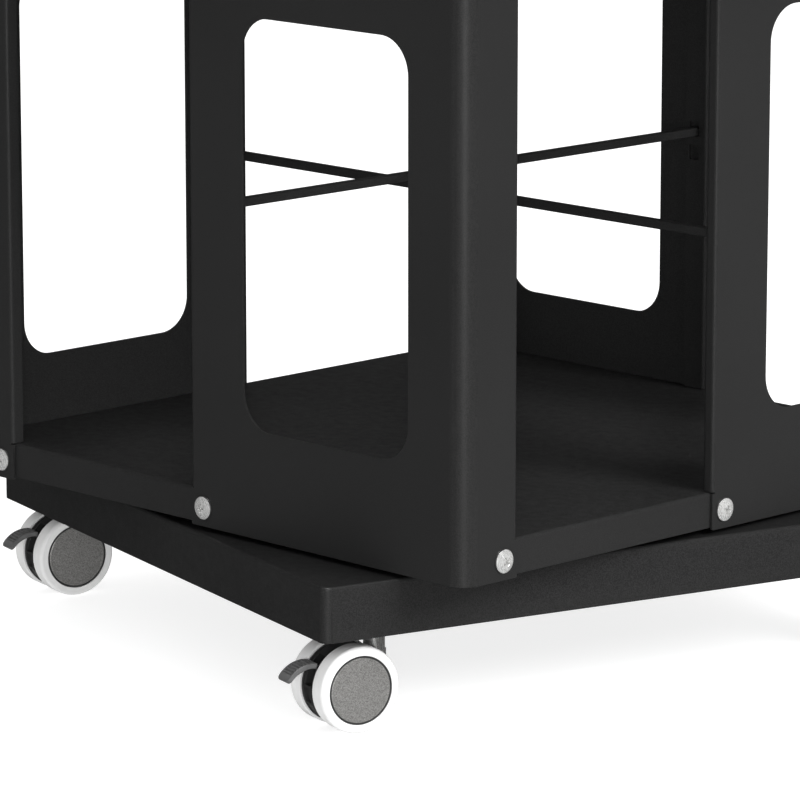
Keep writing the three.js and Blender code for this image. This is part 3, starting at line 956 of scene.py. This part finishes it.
def build_turntable(steel, coat):
    ball_height = (lower_race_high.z + upper_race_low.z) / 2
    lower = race_profile(lower_race_low.z, lower_race_high.z, ball_height)
    upper = race_profile(upper_race_high.z, upper_race_low.z, ball_height)
    for name, profile, body in (("turntable_lower_race", lower, "base"),
                                ("turntable_upper_race", upper, "tower")):
        mesh = finished(name, lathe(profile, RING_SEGMENTS, True), steel, 0.4)
        place(f"{name}_ring", mesh, body, replaces=[name])

    web, foot = CARRIER_WEB, CARRIER_FOOT
    head_inner, toe = web - RETURN, foot - RETURN
    low, high = carrier_low.z, carrier_high.z
    profile = [(toe, low), (foot, low), (foot, low + SHEET), (web, low + SHEET), (web, high),
               (head_inner, high), (head_inner, high - SHEET), (web - SHEET, high - SHEET),
               (web - SHEET, low + SHEET), (toe, low + SHEET)]
    ring = finished("carrier_ring", lathe(profile, RING_SEGMENTS, True), coat, 0.4)
    place("turntable_carrier_folded_ring", ring, "tower",
          replaces=["turntable_carrier_ring"])

    inner, outer = RACE_RADIUS - CAGE_HALF_WIDTH, RACE_RADIUS + CAGE_HALF_WIDTH
    low, high = ball_height - CAGE_HALF_THICKNESS, ball_height + CAGE_HALF_THICKNESS
    cage = lathe([(inner, low), (outer, low), (outer, high), (inner, high)], RING_SEGMENTS, True)
    balls = []
    for spot in circle(RACE_RADIUS, BALL_COUNT):
        ball = bmesh.new()
        bmesh.ops.create_uvsphere(ball, u_segments=20, v_segments=12, radius=BALL_RADIUS)
        balls.append(moved(ball, Matrix.Translation((spot.x, spot.y, ball_height))))
    place("turntable_cage_ring", finished("cage_ring", cage, steel, 0.3), "ball_cage",
          replaces=["turntable_ball_cage"])
    place("turntable_balls", finished("balls", joined(balls), steel), "ball_cage")


# ---- Base ----

BASE_NUT_COUNT = 8  # hold the turntable to the base
BASE_NUT_CIRCLE = 82
BASE_NUT_SCALE = 0.7  # of the nuts behind the screws
WELD_NUT_BORE = 4.3  # a radius
WELD_NUT_RADIUS = 8
WELD_NUT_LOW = 62.3
WELD_NUT_HIGH = 81.7


def build_base(coat, zinc):
    """The base pan, the weld nuts for the casters and the turntable's nuts underneath."""
    top, bottom = base_high.z, base_low.z
    pan = finished("base_pan_sheet", pan_bmesh(BASE_HALF, BASE_CORNER, bottom, top), coat)
    place("base_pan_sheet", pan, "base", at(turn=BASE_TURN), ["base_pan"])

    bore, outer, low, high = WELD_NUT_BORE, WELD_NUT_RADIUS, WELD_NUT_LOW, WELD_NUT_HIGH
    profile = [(bore, low), (outer - 0.8, low), (outer, low + 0.9), (outer, high - 3.1),
               (outer + 2.5, high - 1.7), (outer + 2.5, high), (bore, high)]
    nuts = []
    for corner in CORNERS:
        axis = middle(f"caster_{corner}_stem")
        spot = Matrix.Translation((axis.x, axis.y, 0))
        nuts.append(moved(lathe(profile, 48, True), spot))
    place("base_weld_nuts", finished("base_weld_nuts", joined(nuts), coat, 0.3), "base")

    pose = Matrix.Rotation(math.pi, 4, "X") @ Matrix.Scale(BASE_NUT_SCALE, 4)
    places = [at(spot.x, spot.y, top - SHEET) @ pose
              for spot in circle(BASE_NUT_CIRCLE, BASE_NUT_COUNT)]
    group = gathered("turntable_nuts", nut_mesh(zinc), places)
    place("turntable_nuts", group, "base")


# ---- Casters ----

def on_axle(name, profile, segments, material, side=1, closed=False):
    """A body of revolution about the axle, from (radius, distance outward) points."""
    bm = lathe(profile, segments, closed)
    return finished(name, across(bm, -TRAIL, AXLE_HEIGHT, side), material)


def tyre_mesh(material, side):
    """A white tyre with rounded shoulders round a dished recess for the hub cap."""
    radius, inner, outer = AXLE_HEIGHT, WHEEL_INNER, WHEEL_OUTER
    shoulder = 2.2
    profile = [(AXLE_BORE, inner + 0.2), (20, inner + 0.2), (20.6, inner)]
    profile += arc((radius - 0.8, inner + 0.8), 0.8, -90, 0, 4)
    profile += [(radius, inner + 4), (radius, outer - 3.8)]
    profile += arc((radius - shoulder, outer - 0.55 - shoulder), shoulder, 0, 78, 7)
    profile += [(CAP_RADIUS + 0.7, outer - 0.35), (CAP_RADIUS + 0.45, outer - 0.6),
                (CAP_RADIUS + 0.4, outer - HUB_DEPTH), (AXLE_BORE, outer - HUB_DEPTH)]
    return on_axle("tyre", profile, WHEEL_SEGMENTS, material, side, True)


def shade_line_disc_mesh(material, side):
    """A disc behind the cap, made black so that it shows as a dark line round the cap: painted
    shade for the groove between cap and tyre.
    """
    outer = WHEEL_OUTER
    profile = [(0, outer - HUB_DEPTH), (CAP_RADIUS + 0.35, outer - HUB_DEPTH),
               (CAP_RADIUS + 0.35, outer - CAP_LINE), (CAP_RADIUS - 1.5, outer - CAP_LINE),
               (CAP_RADIUS - 1.5, outer - 1.8), (0, outer - 1.8)]
    return on_axle("shade_line_disc", profile, WHEEL_SEGMENTS, material, side)


def cap_mesh(material, side):
    """The hub cap: a slightly domed disc with a rolled chamfer."""
    outer = WHEEL_OUTER
    edge = CAP_RADIUS - 0.6
    profile = [(0, outer - 1.7), (edge - 1.1, outer - 1.7), (edge - 1.1, outer - 1.1),
               (edge, outer - 1.1), (edge + 0.05, outer - 0.95), (edge - 0.2, outer - 0.65),
               (edge - 0.8, outer - 0.45), (edge - 1.1, outer - 0.44),
               (edge - 1.5, outer - 0.56), (13, outer - 0.32), (9, outer - 0.15),
               (4.5, outer - 0.04), (0, outer)]
    return on_axle("hub_cap", profile, WHEEL_SEGMENTS, material, side)


def housing_mesh(material):
    """The body between the wheels: a flanged disc with a flat foot, the stem's sleeve, the
    brake pedal's pocket and a framed opening below it."""
    drop = AXLE_HEIGHT - HOUSING_FLAT
    flat = math.degrees(math.asin(-drop / HOUSING_RADIUS))
    axle = (-TRAIL, AXLE_HEIGHT)
    side = arc(axle, HOUSING_RADIUS, flat, 180 - flat, 56)
    seat = 37.5  # the sleeve's top, below the stem's collar
    pocket = [(-TRAIL - 30, 25.2), (-TRAIL - 3, 25.2), (-TRAIL - 3, 40.5), (-TRAIL - 30, 40.5)]
    band = HOUSING_HALF - BAND_INSET
    floor_z = HOUSING_FLAT + 0.01  # just clear of the flanges' foot, for a clean join
    waist = arc(axle, HOUSING_RADIUS - WAIST_DEPTH, flat, 180 - flat, 56)
    waist = [Vector((p.x, max(p.y, floor_z))) for p in waist]
    frame = (arc(axle, HOUSING_RADIUS + 0.5, 175, 204, 12)
             + arc(axle, HOUSING_RADIUS - 2, 204, 175, 12))
    hollow = (arc(axle, HOUSING_RADIUS + 2, 179, 200, 12)
              + arc(axle, HOUSING_RADIUS - 1.4, 200, 179, 12))
    bm = combined(
        prism(waist, -band - 0.2, band + 0.2, "X"),
        ("UNION", prism(side, band, HOUSING_HALF, "X")),
        ("UNION", prism(side, -HOUSING_HALF, -band, "X")),
        ("UNION", prism(frame, -FRAME_HALF, FRAME_HALF, "X")),
        ("DIFFERENCE", prism(hollow, -OPENING_HALF, OPENING_HALF, "X")),
        ("UNION", cylinder(6.5, HOUSING_FLAT, seat)),
        ("DIFFERENCE", cuboid((-10, -6.3, seat), (10, 10, 60))),
        ("DIFFERENCE", cylinder(4.3, 13, 60, 32)),
        ("DIFFERENCE", across(cylinder(AXLE_BORE, -10, 10, 32), *axle)),
        ("DIFFERENCE", prism(pocket, -OPENING_HALF, OPENING_HALF, "X")),
    )
    return finished("housing", bm, material, 0.45, 3, 30)


def blade_ring(degrees):
    """The pedal blade's section at an angle along its arc, as (x, radius) points: narrower at
    the tip's corners, thinner towards the tip and cut down between the tread ribs."""
    to_tip = math.radians(BLADE_END - degrees) * BLADE_RADIUS
    short = max(TIP_CORNER - to_tip, 0)
    width = BLADE_HALF - TIP_CORNER + math.sqrt(max(TIP_CORNER ** 2 - short ** 2, 0.04))
    tread = BLADE_RADIUS
    if RIB_FROM <= degrees <= RIB_TO:
        phase = (degrees - RIB_FROM) / (RIB_TO - RIB_FROM) * RIB_COUNT
        tread -= RIB_RISE * (1 - math.sin(math.pi * (phase % 1)) ** 0.9)
    thinning = THINNING * max(0, (degrees - THINNING_FROM) / (BLADE_END - THINNING_FROM))
    edge, low, high = 0.35, BLADE_RADIUS - BLADE_THICKNESS + thinning, BLADE_RADIUS
    return [(-width + edge, low), (width - edge, low), (width, low + edge),
            (width, high - edge), (width - edge, high), (width - 0.9, high),
            (width - 1.1, tread), (-width + 1.1, tread), (-width + 0.9, high),
            (-width + edge, high), (-width, high - edge), (-width, low + edge)]


def pedal_mesh(material):
    """The brake pedal: a curved blade with tread ribs, its arm and the eye round its pin."""
    blade = bmesh.new()
    rings = []
    for n in range(BLADE_STATIONS + 1):
        degrees = BLADE_START + (BLADE_END - BLADE_START) * n / BLADE_STATIONS
        out = Vector((math.cos(math.radians(degrees)), math.sin(math.radians(degrees))))
        spots = [(x, BLADE_CENTRE + out * radius) for x, radius in blade_ring(degrees)]
        rings.append([blade.verts.new((x, spot.x, spot.y)) for x, spot in spots])
    pivot = Vector((-6.3 - TRAIL, 28.3))
    tip = Vector((-21 - TRAIL, 36.6))
    along = (tip - pivot).normalized()
    up = Vector((-along.y, along.x)) * ARM_HALF_HEIGHT
    arm = prism([pivot + up, pivot - up, tip - up, tip + up], -ARM_HALF, ARM_HALF, "X")
    eye = across(cylinder(EYE_RADIUS, -ARM_HALF, ARM_HALF, 32), pivot.x, pivot.y)
    parts = joined([skinned(blade, rings), arm, eye])
    return finished("brake_pedal", parts, material, 0.12, 2, 55)


def stem_mesh(material):
    """The stem: pivot pin, collar with a raised ring, and its threaded top."""
    pin, root = STEM_RADIUS, STEM_RADIUS - THREAD_DEPTH
    profile = [(0, 14.8), (3.6, 14.8), (pin, 15.2), (pin, STEM_COLLAR_LOW),
               (5.8, STEM_COLLAR_LOW), (6.4, 38.3), (6.4, 40.2), (5.8, 40.8), (5.8, 61.2),
               (5, 62), (pin, 62)]
    height = THREAD_LOW
    while height < THREAD_HIGH:
        profile += [(pin, height), (root, height + 0.45), (pin, height + 0.9)]
        height += THREAD_PITCH
    profile += [(3.4, 81.5), (0, 81.5)]
    return finished("stem", lathe(profile, 64), material)


def axle_mesh(material):
    profile = [(0, -14.2), (2.2, -14.2), (2.5, -13.9), (2.5, 13.9), (2.2, 14.2), (0, 14.2)]
    return on_axle("axle", profile, 32, material)


def build_casters(zinc, nylon, grey, white, lacquer):
    stem, axle = stem_mesh(zinc), axle_mesh(zinc)
    housing, pedal = housing_mesh(nylon), pedal_mesh(grey)
    wheels = {side: (tyre_mesh(white, sign), cap_mesh(lacquer, sign), shade_line_disc_mesh(nylon, sign))
              for side, sign in (("right", 1), ("left", -1))}
    for corner in CORNERS:
        name = f"caster_{corner}"
        axis = middle(f"{name}_stem")
        to_axle = middle(f"{name}_axle") - axis
        spot = at(axis.x, axis.y, 0, math.atan2(to_axle.y, to_axle.x) + math.pi / 2)
        place(f"{name}_stem_pin", stem, "base", spot, [f"{name}_stem"])
        place(f"{name}_housing_shell", housing, f"{name}_swivel", spot,
              [f"{name}_housing"])
        place(f"{name}_axle_pin", axle, f"{name}_swivel", spot, [f"{name}_axle"])
        place(f"{name}_pedal_blade", pedal, f"{name}_pedal", spot,
              [f"{name}_brake_pedal"])
        for side, (tyre, cap, shade_line_disc) in wheels.items():
            body = f"{name}_{side}_wheel"
            place(f"{name}_{side}_tyre", tyre, body, spot,
                  [f"{name}_wheel_{side}"])
            place(f"{name}_{side}_hub_cap", cap, body, spot)
            # The black disc behind each cap is painted shade in the groove round it.
            place(f"{name}_{side}_hub", shade_line_disc, body, spot)


# ---- Stage ----

FLOOR_HALF = 60  # metres


def build_camera():
    camera = bpy.data.objects.new("camera", bpy.data.cameras.new("camera"))
    camera.location = (1.9376, -1.9408, 0.6985)
    camera.rotation_euler = (math.radians(78.233), 0, math.radians(45.713))
    camera.data.sensor_width = 36
    camera.data.lens = 221.05
    camera.data.clip_end = 200
    scene.collection.objects.link(camera)
    scene.camera = camera


def build_floor():
    """A plain pale floor that gives off some light itself, and is seen through from below."""
    bm = bmesh.new()
    bmesh.ops.create_grid(bm, x_segments=1, y_segments=1, size=FLOOR_HALF)
    mesh = bpy.data.meshes.new("floor")
    bm.to_mesh(mesh)
    bm.free()
    floor = bpy.data.objects.new("floor", mesh)
    floor.location.z = -0.0002
    scene.collection.objects.link(floor)
    finish = Finish("pale_floor")
    finish.set(Base_Color=(0.42, 0.42, 0.42, 1), Roughness=0.8, Specular_IOR_Level=0.1,
               Emission_Color=(1, 1, 1, 1), Emission_Strength=0.8)
    nodes = finish.tree.nodes
    facing = nodes.new("ShaderNodeNewGeometry")
    clear = nodes.new("ShaderNodeBsdfTransparent")
    mix = nodes.new("ShaderNodeMixShader")
    finish.link(facing.outputs["Backfacing"], mix.inputs["Fac"])
    finish.link(finish.shader.outputs["BSDF"], mix.inputs[1])
    finish.link(clear.outputs["BSDF"], mix.inputs[2])
    finish.link(mix.outputs["Shader"], nodes["Material Output"].inputs["Surface"])
    mesh.materials.append(finish.material)
    floor.visible_glossy = False


def area_light(name, place_at, target, size, watts, diffuse=True, glossy=True):
    """A soft rectangular light that the camera doesn't see. Matt surfaces or highlights can
    be left without it."""
    light = bpy.data.lights.new(name, "AREA")
    light.shape = "RECTANGLE"
    light.size, light.size_y = size
    light.energy = watts
    obj = bpy.data.objects.new(name, light)
    obj.location = place_at
    aim = Vector(target) - Vector(place_at)
    obj.rotation_euler = aim.to_track_quat("-Z", "Y").to_euler()
    obj.visible_camera = False
    obj.visible_diffuse = diffuse
    obj.visible_glossy = glossy
    scene.collection.objects.link(obj)


def build_light():
    """A white surround, a key from the right, an overhead light for the edges' highlights, a
    tall strip by the camera and a weak light from behind."""
    world = bpy.data.worlds.new("world")
    world.use_nodes = True
    background = world.node_tree.nodes["Background"]
    background.inputs["Color"].default_value = (1, 1, 1, 1)
    background.inputs["Strength"].default_value = 1.0
    world.cycles_visibility.glossy = False
    scene.world = world
    scene.view_settings.view_transform = "Standard"
    area_light("key", (3.4, 0.3, 2.4), (0, 0, 0.4), (1.8, 1.8), 185, glossy=False)
    area_light("edge", (0.8, -0.8, 2.8), (0.2, -0.2, 0.1), (0.9, 0.9), 70, diffuse=False)
    area_light("strip", (2.5, -2.5, 0.35), (0, 0, 0.3), (0.3, 1.2), 40)
    area_light("rear", (-3, 3, 1.5), (0, 0, 0.4), (3.5, 2), 2.2)


coat = powder_coat("black_powder_coat", 0.015, 0.006, 0.27, 0.012)
shelf_coat = powder_coat("coarse_black_powder_coat", 0.0155, 0.0152, 0.16, 0.002)
zinc = zinc_plate("bright_zinc", (0.58, 0.58, 0.57), (0.74, 0.74, 0.73), 0.85)
nickel = zinc_plate("polished_screw_zinc", (0.6, 0.6, 0.59), (0.8, 0.8, 0.79), 0.6)
steel = bearing_steel()
nylon = housing_plastic()
build_camera()
build_panels(coat)
build_pans(coat, shelf_coat)
build_rods(coat)
build_screws(nickel, nylon)
build_turntable(steel, coat)
build_base(coat, zinc)
build_casters(zinc, nylon, pedal_plastic(), white_polyurethane(), cap_lacquer())
build_floor()
build_light()
